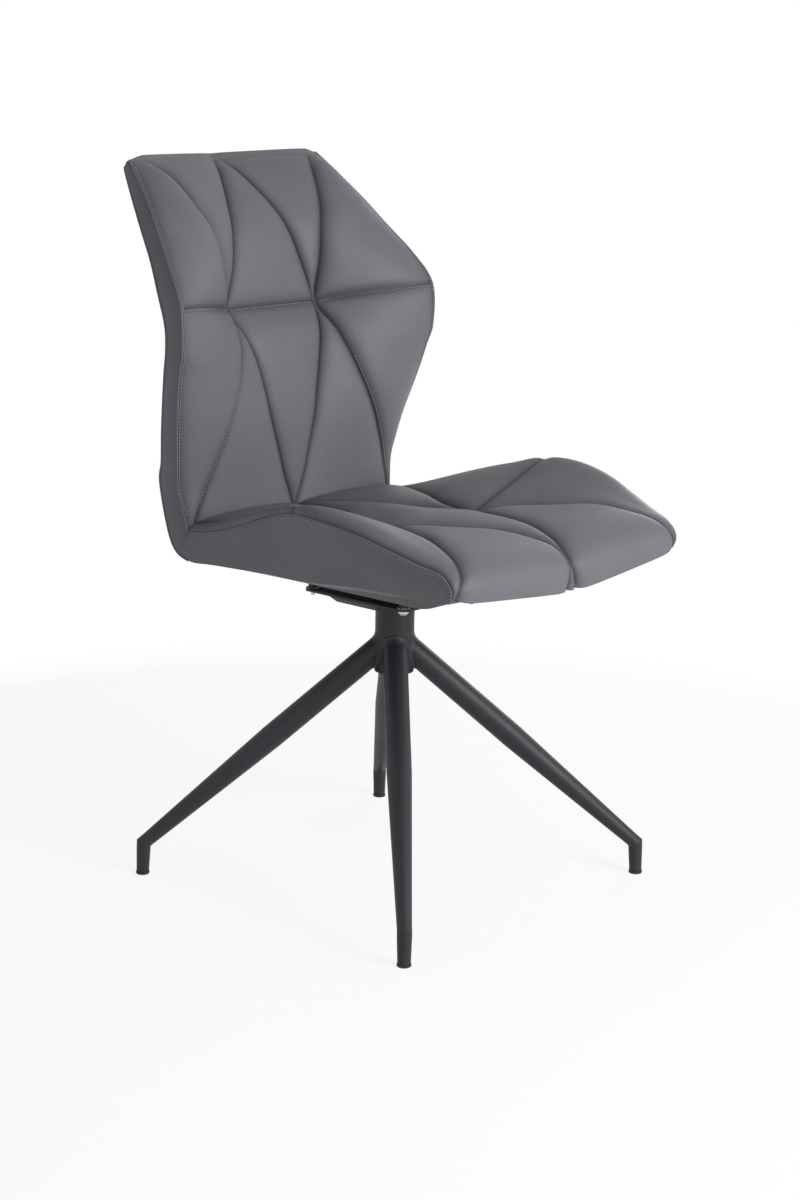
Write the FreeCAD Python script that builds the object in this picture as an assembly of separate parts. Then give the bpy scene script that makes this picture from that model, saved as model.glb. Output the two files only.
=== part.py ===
import FreeCAD
import Part
import math
import os

# Swivel dining chair: upholstered seat and back with raised side wings,
# carried on a four-leg steel base by a spindle that turns in the column.
# Millimetres. +Z is up, the sitter faces -Y, and the sitter's left is +X.
# The origin is on the floor, on the swivel axis.

# Base
foot_circle = 309.0
knee_height = 40.0
knee_inset = 1.5
leg_angle = 41.1
leg_diameter = 30.0
leg_taper_start = 150.0
knee_diameter = 17.5
knee_collar = 7.0
foot_diameter = 15.5
leg_wall = 1.5
column_diameter = 48.0
column_wall = 2.5
column_bottom = 265.0
column_top = 348.0
glide_height = 3.0
glide_diameter = 17.0
glide_stem = 12.0
glide_lip = 0.8
plug_depth = 9.0
plug_flange = 2.0
plug_wall = 2.0

# Swivel
spindle_diameter = 25.0
spindle_clearance = 0.05
bush_length = 26.0
bush_flange = 2.0
bush_flange_overhang = 2.0
lower_bush_rise = 18.0
thrust_washer_thickness = 2.0
thrust_washer_diameter = 44.0
ring_thickness = 2.0
ring_groove_depth = 1.2
ring_width = 4.5
ring_gap = 6.0
spindle_tail = 3.0
spindle_tip_chamfer = 1.0
spindle_washer_thickness = 1.5
spindle_washer_width = 4.5
housing_depth = 11.0
housing_half_width = 59.0
housing_front = 36.0
housing_rear = 56.0
housing_slope = 11.0
housing_corner_cut = 14.0
housing_wall = 2.5

# Mounting plate and its fasteners
plate_thickness = 3.0
plate_width = 158.0
plate_depth = 168.0
plate_corner_cut = 9.0
bolt_spacing_x = 136.0
bolt_spacing_y = 148.0
bolt_diameter = 6.0
bolt_head_diameter = 12.0
bolt_head_height = 5.5
bolt_head_round = 2.5
bolt_socket_radius = 2.0
bolt_socket_depth = 3.0
bolt_hole_clearance = 0.5
rear_stud_diameter = 5.0
rear_stud_tail = 6.0
toothed_washer_diameter = 17.0
toothed_washer_thickness = 0.8
washer_teeth = 12
washer_tooth_depth = 1.6
spacer_diameter = 11.0

# Seat board and inner frame
board_half_width = 96.0
board_front = 136.0
board_rear = 132.0
board_thickness = 12.0
board_corner_cut = 12.0
dust_cover_thickness = 1.0
tee_nut_flange = 18.0
tee_nut_flange_thickness = 1.5
tee_nut_barrel = 9.0
tee_nut_depth = 10.0
rail_diameter = 16.0
cross_rail_diameter = 14.0
rail_wall = 1.5
weld_gap = 0.1
foam_clearance = 0.3
rail_half_spacing = 80.0
rail_front = 190.0
rail_bend_radius = 45.0
rail_back_y = 196.0
rail_kink_height = 600.0
rail_kink_y = 229.0
rail_pinch_height = 700.0
rail_top_height = 790.0
rail_top_y = 246.0
front_rail_y = 180.0
lumbar_rail_height = 490.0
top_rail_drop = 10.0
frame_screw_diameter = 6.0
frame_screw_head = 11.0
frame_screw_head_height = 3.0
frame_screw_y = 108.0

# Seat cushion, measured along Y from the front lip to the crease
lip_y = -270.0
front_corner_half_width = 206.0
front_corner_height = 449.0
front_hem_height = 411.0
front_hem_corner_rise = 15.0
seat_wing_half_width = 235.0
seat_wing_y = -105.0
seat_wing_peak_y = -60.0
seat_wing_height = 497.0
seat_seam_y = -60.0
seat_node_height = 460.0
seat_node_half_spacing = 76.0
seat_front_seam_height = 467.0
seat_outer_seam_rise = 9.0
lip_roll_depth = 75.0
lip_tip_depth = 4.0
lip_round_depth = 40.0
lip_roll_height = 35.0
bolster_roll = 13.0
bolster_bulge = 1.5
seat_crown = 9.0
seat_hem_half_width = 190.0
seat_hem_height = 411.0
seat_hem_rear_height = 398.0
underside_height = 381.0

# Crease between seat and back, on a plane at 45 degrees
crease_y = 174.0
crease_height = 443.0
crease_half_width = 181.0
crease_seam_inset = 9.0
outer_bend_offset = 38.0
hem_bend_offset = 24.0

# Back cushion, measured along Z from the crease to the top edge
back_top = 869.0
top_centre_y = 320.0
top_half_width = 163.0
top_corner_y = 293.0
top_seam_half_spacing = 140.0
back_seam_height = 692.0
back_node_y = 216.0
back_node_half_spacing = 77.0
back_wing_half_width = 222.0
back_wing_y = 137.0
lumbar_edge_y = 185.0
back_crown = 9.0
gusset_depth = 30.0
top_gusset_depth = 20.0
back_rear_low_y = 222.0
back_rear_seam_y = 243.0
back_rear_top_y = 336.0
rear_flat_half_width = 100.0
back_cover_thickness = 5.0
back_cover_edge = 1.0
top_roll_height = 6.0
top_roll_pull = 5.0
top_roll_inset = 9.0
gusset_skin = 1.5
least_half_seam = 3.0
least_crown = 0.08
crown_run = 22.0
seam_shoulder = 16.0

# Heights and places that follow from the sizes above
plate_bottom = column_top + bush_flange + thrust_washer_thickness + housing_depth
plate_top = plate_bottom + plate_thickness
board_bottom = underside_height
board_top = board_bottom + board_thickness
rail_height = board_top + rail_diameter / 2
spacer_bottom = plate_top + toothed_washer_thickness
spacer_top = board_bottom - dust_cover_thickness
column_inner = column_diameter / 2 - column_wall
spindle_radius = spindle_diameter / 2
bush_bore = spindle_radius + spindle_clearance
lower_bush_bottom = column_bottom + lower_bush_rise
lower_bush_height = bush_length - bush_flange
spindle_bottom = lower_bush_bottom - spindle_washer_thickness - ring_thickness - spindle_tail


def export(node, shape):
    """Write one node's solids to its own STEP file."""
    solids = shape.Solids
    result = solids[0] if len(solids) == 1 else Part.makeCompound(solids)
    result.exportStep("parts/" + node + ".step")
    print(node, len(solids), round(shape.Volume / 1000, 1), shape.isValid())


def point(x, y, z):
    return FreeCAD.Vector(x, y, z)


def rod(radius, bottom, top, x=0.0, y=0.0):
    return Part.makeCylinder(radius, top - bottom, point(x, y, bottom))


def ring(outer, inner, bottom, top, x=0.0, y=0.0):
    return rod(outer, bottom, top, x, y).cut(rod(inner, bottom, top, x, y))


def cut_corner_outline(left, right, front, rear, corner, height):
    """A rectangle with cut corners, as a closed wire at one height."""
    corners = [
        point(left + corner, front, height), point(right - corner, front, height),
        point(right, front + corner, height), point(right, rear - corner, height),
        point(right - corner, rear, height), point(left + corner, rear, height),
        point(left, rear - corner, height), point(left, front + corner, height)]
    return Part.makePolygon(corners + corners[:1])


def four_places(spacing_x, spacing_y):
    half_x, half_y = spacing_x / 2, spacing_y / 2
    return [(-half_x, -half_y), (half_x, -half_y), (-half_x, half_y), (half_x, half_y)]


# Base: column, four welded legs that taper to a bent foot, and their glides

def leg_solid(shrink, overrun):
    """One leg in its own XZ plane: straight run, long taper, mitred knee and short foot.

    A short collar of one diameter each side of the mitre makes the two cut ends match."""
    slope = math.radians(leg_angle)
    along = point(math.cos(slope), 0, -math.sin(slope))
    knee = point(foot_circle - knee_inset, 0, knee_height)
    foot = point(foot_circle, 0, glide_height)
    down = (foot - knee).normalize()
    start = knee - along * (knee.x / math.cos(slope))
    taper = knee - along * ((knee.x - leg_taper_start) / math.cos(slope))
    collar_start, collar_end = knee - along * knee_collar, knee + down * knee_collar
    leg_radius, knee_radius, foot_radius = (
        diameter / 2 - shrink for diameter in (leg_diameter, knee_diameter, foot_diameter))
    mitre = (along + down).normalize()
    beyond = Part.makeCylinder(leg_diameter, 2 * leg_diameter, knee, mitre)
    before = Part.makeCylinder(leg_diameter, 2 * leg_diameter, knee, mitre * -1)
    straight = Part.makeCylinder(leg_radius, (taper - start).Length, start, along)
    shin = Part.makeCone(leg_radius, knee_radius, (collar_start - taper).Length, taper, along)
    upper = Part.makeCylinder(knee_radius, 2 * knee_collar, collar_start, along).cut(beyond)
    lower = Part.makeCylinder(knee_radius, 2 * knee_collar, collar_end, down * -1).cut(before)
    ankle = Part.makeCone(knee_radius, foot_radius, (foot - collar_end).Length, collar_end, down)
    stub = Part.makeCylinder(foot_radius, overrun, foot, down)
    return straight.fuse([shin, upper, lower, ankle, stub]).removeSplitter()


def make_leg(angle):
    overrun = foot_diameter / 2
    leg = leg_solid(0.0, overrun).cut(leg_solid(leg_wall, 2 * overrun))
    leg = leg.cut(rod(leg_diameter, -leg_diameter, glide_height, foot_circle))
    leg = leg.cut(rod(column_diameter / 2, 0, column_top + leg_diameter))
    leg.rotate(point(0, 0, 0), point(0, 0, 1), angle)
    return leg


def make_glide(angle):
    """Moulded glide: a lipped pad under the foot with a stem pressed into the tube."""
    pad = rod(glide_diameter / 2, 0, glide_height, foot_circle)
    bottom_edge = [edge for edge in pad.Edges if abs(edge.BoundBox.ZMax) < 0.01]
    pad = pad.makeChamfer(glide_lip, bottom_edge)
    stem = rod(foot_diameter / 2 - leg_wall, glide_height, glide_height + glide_stem / 2, foot_circle)
    glide = pad.fuse(stem).removeSplitter()
    glide.rotate(point(0, 0, 0), point(0, 0, 1), angle)
    return glide


def make_column():
    return ring(column_diameter / 2, column_inner, column_bottom, column_top)


def make_plug():
    """Push-in plug that closes the bottom of the column."""
    flange = rod(column_diameter / 2, column_bottom - plug_flange, column_bottom)
    body = ring(column_inner, column_inner - plug_wall, column_bottom, column_bottom + plug_depth)
    return flange.fuse(body).removeSplitter()


def make_upper_bush():
    body = rod(column_inner, column_top - bush_length, column_top)
    flange = rod(column_inner + bush_flange_overhang, column_top, column_top + bush_flange)
    bore = rod(bush_bore, column_top - bush_length, column_top + bush_flange)
    return body.fuse(flange).cut(bore).removeSplitter()


def make_lower_bush():
    return ring(column_inner, bush_bore, lower_bush_bottom, lower_bush_bottom + lower_bush_height)


# Swivel: spindle, washers and ring, and the pressed housing under the plate

def make_spindle():
    shaft = rod(spindle_radius, spindle_bottom, plate_bottom)
    groove_bottom = spindle_bottom + spindle_tail
    groove = ring(spindle_radius, spindle_radius - ring_groove_depth, groove_bottom,
                  groove_bottom + ring_thickness)
    tip = [edge for edge in shaft.Edges if abs(edge.BoundBox.ZMax - spindle_bottom) < 0.01]
    return shaft.makeChamfer(spindle_tip_chamfer, tip).cut(groove)


def make_retaining_ring():
    """Open spring ring in the spindle's groove."""
    bottom = spindle_bottom + spindle_tail
    inner = spindle_radius - ring_groove_depth
    body = ring(inner + ring_width, inner, bottom, bottom + ring_thickness)
    gap = Part.makeBox(spindle_diameter, ring_gap, ring_thickness, point(0, -ring_gap / 2, bottom))
    return body.cut(gap)


def make_spindle_washer():
    top = lower_bush_bottom
    return ring(spindle_radius + spindle_washer_width, bush_bore, top - spindle_washer_thickness, top)


def make_thrust_washer():
    bottom = column_top + bush_flange
    return ring(thrust_washer_diameter / 2, bush_bore, bottom, bottom + thrust_washer_thickness)


def housing_block(inset, floor):
    """Tapered pan outline, wider at the plate than at its floor."""
    wide = housing_half_width + housing_slope - inset
    narrow = housing_half_width - inset
    front_wide, rear_wide = housing_front + housing_slope - inset, housing_rear + housing_slope - inset
    front_narrow, rear_narrow = housing_front - inset, housing_rear - inset
    low = cut_corner_outline(-narrow, narrow, -front_narrow, rear_narrow, housing_corner_cut, floor)
    high = cut_corner_outline(-wide, wide, -front_wide, rear_wide, housing_corner_cut,
                              plate_bottom)
    return Part.makeLoft([low, high], True, True)


def make_housing():
    floor = plate_bottom - housing_depth
    pan = housing_block(0.0, floor).cut(housing_block(housing_wall, floor + housing_wall))
    return pan.cut(rod(spindle_radius, floor - 1, plate_bottom))


# Mounting plate and the fasteners that hold the seat to it

def bolt_places():
    return four_places(bolt_spacing_x, bolt_spacing_y)


def make_plate():
    outline = cut_corner_outline(-plate_width / 2, plate_width / 2, -plate_depth / 2, plate_depth / 2,
                                 plate_corner_cut, plate_bottom)
    plate = Part.Face(outline).extrude(point(0, 0, plate_thickness))
    for x, y in bolt_places():
        plate = plate.cut(rod(bolt_diameter / 2 + bolt_hole_clearance, plate_bottom, plate_top, x, y))
    return plate


def make_front_bolts():
    """Domed bolts put in from below, with a hexagon socket."""
    bolts = []
    for x, y in bolt_places()[:2]:
        head = rod(bolt_head_diameter / 2, plate_bottom - bolt_head_height, plate_bottom, x, y)
        rim = [edge for edge in head.Edges if abs(edge.BoundBox.ZMax - head.BoundBox.ZMin) < 0.01]
        head = head.makeChamfer(bolt_head_round, rim)
        turns = [math.radians(60 * step) for step in range(7)]
        socket = Part.Face(Part.makePolygon([
            point(x + bolt_socket_radius * math.cos(turn), y + bolt_socket_radius * math.sin(turn),
                  plate_bottom - bolt_head_height) for turn in turns])).extrude(point(0, 0, bolt_socket_depth))
        shank = rod(bolt_diameter / 2, plate_bottom, board_top - tee_nut_flange_thickness, x, y)
        bolts.append(head.cut(socket).fuse(shank).removeSplitter())
    return Part.makeCompound(bolts)


def make_rear_studs():
    """Studs that hang from the board through the spacers and the plate."""
    studs = []
    for x, y in bolt_places()[2:]:
        tail = rod(rear_stud_diameter / 2, plate_bottom - rear_stud_tail, plate_bottom, x, y)
        shank = rod(bolt_diameter / 2, plate_bottom, board_top - tee_nut_flange_thickness, x, y)
        studs.append(tail.fuse(shank).removeSplitter())
    return Part.makeCompound(studs)


def make_toothed_washers():
    washers = []
    for x, y in bolt_places():
        tips = []
        for step in range(2 * washer_teeth + 1):
            turn = math.pi * step / washer_teeth
            reach = toothed_washer_diameter / 2 - washer_tooth_depth * (step % 2)
            tips.append(point(x + reach * math.cos(turn), y + reach * math.sin(turn), plate_top))
        star = Part.Face(Part.makePolygon(tips)).extrude(point(0, 0, toothed_washer_thickness))
        washers.append(star.cut(rod(bolt_diameter / 2 + bolt_hole_clearance, plate_top, spacer_bottom, x, y)))
    return Part.makeCompound(washers)


def make_spacers():
    return Part.makeCompound([
        ring(spacer_diameter / 2, bolt_diameter / 2 + bolt_hole_clearance, spacer_bottom, spacer_top, x, y)
        for x, y in bolt_places()])


def make_tee_nuts():
    """Flanged nuts let into the top of the board."""
    nuts = []
    for x, y in bolt_places():
        flange = rod(tee_nut_flange / 2, board_top - tee_nut_flange_thickness, board_top, x, y)
        barrel = rod(tee_nut_barrel / 2, board_top - tee_nut_depth, board_top - tee_nut_flange_thickness, x, y)
        nuts.append(flange.fuse(barrel).cut(
            rod(bolt_diameter / 2, board_top - tee_nut_depth, board_top - tee_nut_flange_thickness, x, y)))
    return Part.makeCompound(nuts)


# Board, dust cover and the welded tube frame inside the cushions

def board_slab(bottom, top):
    outline = cut_corner_outline(-board_half_width, board_half_width, -board_front, board_rear,
                                 board_corner_cut, bottom)
    return Part.Face(outline).extrude(point(0, 0, top - bottom))


def frame_screw_places():
    return four_places(2 * rail_half_spacing, 2 * frame_screw_y)


def make_board():
    board = board_slab(board_bottom, board_top)
    for x, y in bolt_places():
        board = board.cut(rod(tee_nut_barrel / 2, board_bottom, board_top, x, y))
        board = board.cut(rod(tee_nut_flange / 2, board_top - tee_nut_flange_thickness, board_top, x, y))
    for x, y in frame_screw_places():
        board = board.cut(rod(frame_screw_diameter / 2, board_bottom, board_top, x, y))
    return board


def make_dust_cover():
    cover = board_slab(board_bottom - dust_cover_thickness, board_bottom)
    for x, y in bolt_places():
        cover = cover.cut(rod(bolt_diameter / 2 + bolt_hole_clearance, spacer_top, board_bottom, x, y))
    return cover


def round_section(centre, along, radius):
    return Part.Face(Part.Wire(Part.Circle(centre, along, radius).toShape()))


def square_section(centre, along, radius):
    """A square round the same circle, with two sides square to X."""
    side = point(radius, 0, 0)
    rise = along.cross(point(1, 0, 0)) * radius
    corners = [centre + side + rise, centre - side + rise, centre - side - rise, centre + side - rise]
    return Part.Face(Part.makePolygon(corners + corners[:1]))


def bent_rod(points, bend_radii, radius, section):
    """Straight runs joined by tangent bends, one bend radius at each inner point."""
    pieces = []
    start = points[0]
    for index, bend_radius in enumerate(bend_radii):
        before, corner, after = points[index], points[index + 1], points[index + 2]
        into = (corner - before).normalize()
        out = (after - corner).normalize()
        turn = into.getAngle(out)
        reach = bend_radius * math.tan(turn / 2)
        bend_start = corner - into * reach
        axis = into.cross(out).normalize()
        centre = bend_start + axis.cross(into) * bend_radius
        pieces.append(section(start, into, radius).extrude(bend_start - start))
        pieces.append(section(bend_start, into, radius).revolve(centre, axis, math.degrees(turn)))
        start = corner + out * reach
    pieces.append(section(start, out, radius).extrude(points[-1] - start))
    return pieces[0].fuse(pieces[1:]).removeSplitter()


def rail_tube(x, radius, section):
    points = [point(x, -rail_front, rail_height), point(x, rail_back_y, rail_height),
              point(x, rail_back_y, rail_kink_height), point(x, rail_kink_y, rail_pinch_height),
              point(x, rail_top_y, rail_top_height)]
    return bent_rod(points, (rail_bend_radius, 2 * rail_bend_radius, 2 * rail_bend_radius), radius, section)


def rail_y(height):
    """Where the rail's centre line runs at a height in the back."""
    if height < rail_kink_height:
        return rail_back_y
    if height < rail_pinch_height:
        share = (height - rail_kink_height) / (rail_pinch_height - rail_kink_height)
        return rail_back_y + share * (rail_kink_y - rail_back_y)
    share = (height - rail_pinch_height) / (rail_top_height - rail_pinch_height)
    return rail_kink_y + share * (rail_top_y - rail_kink_y)


def cross_tube(y, z, radius):
    return Part.makeCylinder(radius, 2 * rail_half_spacing, point(-rail_half_spacing, y, z), point(1, 0, 0))


def cross_places():
    top_height = rail_top_height - top_rail_drop - rail_diameter / 2
    return {"front_cross_rail": (-front_rail_y, rail_height),
            "lumbar_cross_rail": (rail_y(lumbar_rail_height), lumbar_rail_height),
            "top_cross_rail": (rail_y(top_height), top_height)}


def make_frame():
    """Two bent side rails with three cross rails coped between them.

    Returns the tubes by node, and the square channels that the foam is moulded with
    to take them."""
    outer = rail_diameter / 2
    cross_outer = cross_rail_diameter / 2
    sides = {"frame_rail_right": -rail_half_spacing, "frame_rail_left": rail_half_spacing}
    pieces, channels = {}, []
    for node, side in sides.items():
        tube = rail_tube(side, outer, round_section).cut(rail_tube(side, outer - rail_wall, round_section))
        for x, y in frame_screw_places():
            tube = tube.cut(rod(frame_screw_diameter / 2, board_bottom, board_top + 2 * rail_diameter, x, y))
        pieces[node] = tube
        channels.append(rail_tube(side, outer + foam_clearance, square_section))
    for node, (y, z) in cross_places().items():
        tube = cross_tube(y, z, cross_outer).cut(cross_tube(y, z, cross_outer - rail_wall))
        for side in sides.values():
            tube = tube.cut(rail_tube(side, outer + weld_gap, round_section))
        pieces[node] = max(tube.Solids, key=lambda piece: piece.Volume)
        half = cross_outer + foam_clearance
        channels.append(Part.makeBox(2 * rail_half_spacing, 2 * half, 2 * half,
                                     point(-rail_half_spacing, y - half, z - half)))
    return pieces, channels


def make_frame_screws(clearance):
    screws = []
    rail_top = board_top + rail_diameter
    head_top = rail_top + frame_screw_head_height + clearance
    for x, y in frame_screw_places():
        shank = rod(frame_screw_diameter / 2, board_bottom, rail_top, x, y)
        head = rod(frame_screw_head / 2 + clearance, rail_top, head_top, x, y)
        screws.append(shank.fuse(head).removeSplitter())
    return Part.makeCompound(screws)


# Cushions: ruled lofts through sections of crowned arcs between the sewn channels

def smooth(share):
    share = min(1.0, max(0.0, share))
    return share * share * (3 - 2 * share)


def between(low, high, share):
    return low + (high - low) * share


def quarter_wave(share, power=1.0):
    share = min(1.0, max(0.0, share))
    return math.sin(share * math.pi / 2) ** power


def crowned(start, end, rise):
    """An arc between two seams whose middle stands proud by a rise vector."""
    middle = (start + end) * 0.5 + rise
    return Part.Arc(start, middle, end).toShape()


def line(start, end):
    return Part.LineSegment(start, end).toShape()


def mirrored(place):
    return point(-place.x, place.y, place.z)


def seat_places(y):
    """Named places of the right half of one seat section, at x above zero."""
    ahead = min(1.0, max(0.0, (seat_seam_y - y) / (seat_seam_y - lip_y)))
    behind = min(1.0, max(0.0, (y - seat_seam_y) / (crease_y - seat_seam_y)))
    roll = min(1.0, max(0.0, 1 - (y - lip_y) / lip_roll_depth))
    lip_drop = lip_roll_height * (1 - math.sqrt(max(0.0, 1 - roll * roll)))
    if y < seat_wing_y:
        edge_x = between(front_corner_half_width, seat_wing_half_width,
                         quarter_wave((y - lip_y) / (seat_wing_y - lip_y), 1.3))
    else:
        edge_x = between(seat_wing_half_width, crease_half_width,
                         smooth((y - seat_wing_y) / (crease_y - seat_wing_y)))
    if y < seat_wing_peak_y:
        edge_z = between(front_corner_height, seat_wing_height,
                         quarter_wave((y - lip_y) / (seat_wing_peak_y - lip_y)))
        seam_z = between(seat_node_height, seat_front_seam_height, quarter_wave(ahead * 2)) - lip_drop
        outer_z = seam_z + seat_outer_seam_rise * quarter_wave(ahead * 1.5)
        outer_x = between(seat_node_half_spacing, front_corner_half_width - 14, ahead ** 0.85)
        inner_x = seat_node_half_spacing * (1 - ahead)
    else:
        edge_z = between(seat_wing_height, crease_height - 3,
                         smooth((y - seat_wing_peak_y) / (crease_y - seat_wing_peak_y)))
        seam_z = between(seat_node_height, crease_height, smooth(behind * 1.6 - 0.6)) - 5 * math.sin(math.pi * behind)
        outer_z = seam_z + 3 * math.sin(math.pi * behind)
        outer_x = between(seat_node_half_spacing, crease_half_width - crease_seam_inset, behind ** 1.15)
        inner_x = seat_node_half_spacing * (1 - behind ** 1.2)
    return edge_x, edge_z - 0.35 * lip_drop, outer_x, outer_z, inner_x, seam_z, lip_drop


def seat_hem(y):
    """The bottom edge of the side gusset and the edge of the flat underside."""
    ahead = smooth((board_front * -1 - y) / (-board_front - lip_y))
    behind = smooth((y - board_rear) / (crease_y - board_rear))
    hem_x = between(seat_hem_half_width, front_corner_half_width - 4, ahead)
    hem_x = between(hem_x, crease_half_width, behind)
    hem_z = between(seat_hem_height, front_hem_height + front_hem_corner_rise, ahead)
    hem_z = between(hem_z, seat_hem_rear_height, smooth((y - seat_seam_y) / (crease_y - seat_seam_y)))
    flat_z = between(underside_height, front_hem_height, ahead)
    return hem_x, hem_z, flat_z


def seat_section(y):
    edge_x, edge_z, outer_x, outer_z, inner_x, seam_z, lip_drop = seat_places(y)
    hem_x, hem_z, flat_z = seat_hem(y)
    outer_x = min(outer_x, edge_x - 12)
    inner_x = min(max(inner_x, least_half_seam), outer_x - least_half_seam)
    near_seam = 1 - (1 - least_crown) * math.exp(-abs(y - seat_seam_y) / crown_run)
    near_crease = 1 - math.exp(-(crease_y + 12 - y) / 25.0)
    rise = point(0, 0, seat_crown * near_seam * near_crease)
    roll = bolster_roll * min(1.0, (edge_z - hem_z) / 60.0)
    edge = point(edge_x, y, edge_z)
    crest = point(edge_x - 0.8 * roll, y, edge_z + roll)
    outer = point(outer_x, y, outer_z)
    inner = point(inner_x, y, seam_z)
    hem = point(hem_x, y, hem_z)
    flat = point(board_half_width, y, flat_z)
    return edge, crest, outer, inner, hem, flat, rise


def seat_crease_section():
    """The seat's last section, on the plane at 45 degrees through the crease."""
    def on_plane(x, offset):
        return point(x, crease_y + offset, crease_height - offset)
    edge = on_plane(crease_half_width, 3.0)
    crest = on_plane(crease_half_width - 4, 1.0)
    outer = on_plane(crease_half_width - crease_seam_inset - 4, 0.0)
    inner = on_plane(least_half_seam, 0.0)
    hem = on_plane(crease_half_width - 2, hem_bend_offset)
    flat = on_plane(board_half_width, outer_bend_offset)
    return edge, crest, outer, inner, hem, flat, point(0, -0.5, 0.5)


def seat_wire(section):
    edge, crest, outer, inner, hem, flat, rise = section
    plane_normal = (crest - edge).cross(hem - edge)
    bulge = plane_normal.cross(crest - edge).normalize() * -bolster_bulge
    top = [crowned(edge, crest, bulge), crowned(crest, outer, rise * 0.5), crowned(outer, inner, rise),
           crowned(inner, mirrored(inner), rise), crowned(mirrored(inner), mirrored(outer), rise),
           crowned(mirrored(outer), mirrored(crest), rise * 0.5),
           crowned(mirrored(crest), mirrored(edge), mirrored(bulge))]
    under = [line(mirrored(edge), mirrored(hem)), line(mirrored(hem), mirrored(flat)),
             line(mirrored(flat), flat), line(flat, hem), line(hem, edge)]
    return Part.Wire(top + under)


def seat_stations():
    """Section places, close together where the lip rolls over."""
    places = [lip_y + depth for depth in (lip_tip_depth, 4 * lip_tip_depth, lip_round_depth)]
    places += [between(lip_y + lip_round_depth, seat_seam_y, 0.5)]
    places += [seat_seam_y - seam_shoulder, seat_seam_y, seat_seam_y + seam_shoulder]
    places += [between(seat_seam_y, crease_y, share) for share in (0.3, 0.55, 0.8)]
    return places


def lip_section():
    """The front tip: a low, flat strip that closes the roll."""
    edge, crest, outer, inner, hem, flat, rise = seat_section(lip_y + lip_tip_depth)
    def squeezed(place, low, high):
        return point(place.x * 0.995, lip_y, between(low, high, 0.5) + (place.z - between(low, high, 0.5)) * 0.55)
    low, high = flat.z, inner.z
    return [squeezed(place, low, high + (place.z - low) * 0.2) for place in (edge, crest, outer, inner)] + [
        squeezed(hem, low, high), squeezed(flat, low, high), rise * 0.3]


def back_places(z):
    """Named places of the right half of one back section."""
    up = (z - back_seam_height) / (back_top - back_seam_height)
    low = min(1.0, max(0.0, (z - crease_height) / (back_seam_height - crease_height)))
    if up > 0:
        edge_x = between(back_wing_half_width, top_half_width, up ** 1.3)
        edge_y = between(back_wing_y, top_corner_y, up ** 1.32)
        centre_y = back_node_y + (top_centre_y - back_node_y) * (0.28 * up + 0.72 * up ** 4)
        outer_y = between(back_node_y, top_corner_y + 3, up ** 2.7)
        outer_x = between(back_node_half_spacing, top_seam_half_spacing, up ** 1.6)
        inner_x = back_node_half_spacing * (1 - up ** 1.1)
        rear_y = between(back_rear_seam_y, back_rear_top_y, 0.35 * up + 0.65 * up ** 3)
        depth = between(gusset_depth, top_gusset_depth, up)
    else:
        edge_x = between(crease_half_width, back_wing_half_width, quarter_wave(low, 1.4))
        edge_y = between(lumbar_edge_y, back_wing_y, smooth(low * 1.2 - 0.2) * 0.35 + low * 0.65)
        edge_y = between(crease_y + 3, edge_y, smooth(low * 6))
        centre_y = between(crease_y, back_node_y, low ** 4.4)
        outer_x = between(crease_half_width - crease_seam_inset, back_node_half_spacing, low)
        outer_y = between(crease_y, back_node_y, low ** 4.4) - 16 * math.sin(math.pi * low ** 1.2)
        inner_x = back_node_half_spacing * low ** 0.9
        rear_y = between(back_rear_low_y, back_rear_seam_y, low ** 2.2)
        depth = gusset_depth
    return edge_x, edge_y, outer_x, outer_y, inner_x, centre_y, rear_y, depth


def back_section(z):
    edge_x, edge_y, outer_x, outer_y, inner_x, centre_y, rear_y, depth = back_places(z)
    outer_x = min(outer_x, edge_x - 12)
    inner_x = min(max(inner_x, least_half_seam), outer_x - least_half_seam)
    near_seam = 1 - (1 - least_crown) * math.exp(-abs(z - back_seam_height) / crown_run)
    near_crease = 1 - math.exp(-(z - crease_height + 12) / 25.0)
    near_top = 1 - math.exp(-(back_top + 6 - z) / 18.0)
    rise = point(0, -back_crown * near_seam * near_crease * near_top, 0)
    edge = point(edge_x, edge_y, z)
    outer = point(outer_x, outer_y, z)
    inner = point(inner_x, centre_y, z)
    hem = point(edge_x - 4, edge_y + depth, z)
    flat = point(rear_flat_half_width * edge_x / back_wing_half_width, rear_y - back_cover_thickness, z)
    return edge, outer, inner, hem, flat, rise


def back_crease_section():
    edge, crest, outer, inner, hem, flat, rise = seat_crease_section()
    return edge, outer, inner, hem, flat, rise


def back_wire(section):
    edge, outer, inner, hem, flat, rise = section
    front = [crowned(edge, outer, rise * 0.7), crowned(outer, inner, rise),
             crowned(inner, mirrored(inner), rise), crowned(mirrored(inner), mirrored(outer), rise),
             crowned(mirrored(outer), mirrored(edge), rise * 0.7)]
    rear = [line(mirrored(edge), mirrored(hem)), line(mirrored(hem), mirrored(flat)),
            line(mirrored(flat), flat), line(flat, hem), line(hem, edge)]
    return Part.Wire(front + rear)


def back_stations():
    places = [between(crease_height, back_seam_height, share) for share in (0.16, 0.4, 0.65, 0.92)]
    places += [back_seam_height]
    places += [between(back_seam_height, back_top, share) for share in (0.09, 0.32, 0.56, 0.8, 1.0)]
    return places


def top_section():
    """The rolled top edge: the last back section raised a little and pulled in all round."""
    edge, outer, inner, hem, flat, rise = back_section(back_top)
    back, forward = point(0, top_roll_pull, top_roll_height), point(0, -top_roll_pull, top_roll_height)
    inset = point(-top_roll_inset, 0, 0)
    return edge + back + inset, outer + back + inset, inner + back, hem + forward + inset, flat + forward, rise


def make_seat_pad(hollows):
    sections = [lip_section()] + [seat_section(y) for y in seat_stations()] + [seat_crease_section()]
    pad = Part.makeLoft([seat_wire(section) for section in sections], True, True)
    for hollow in hollows:
        pad = pad.cut(hollow)
    return pad, sections


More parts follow.
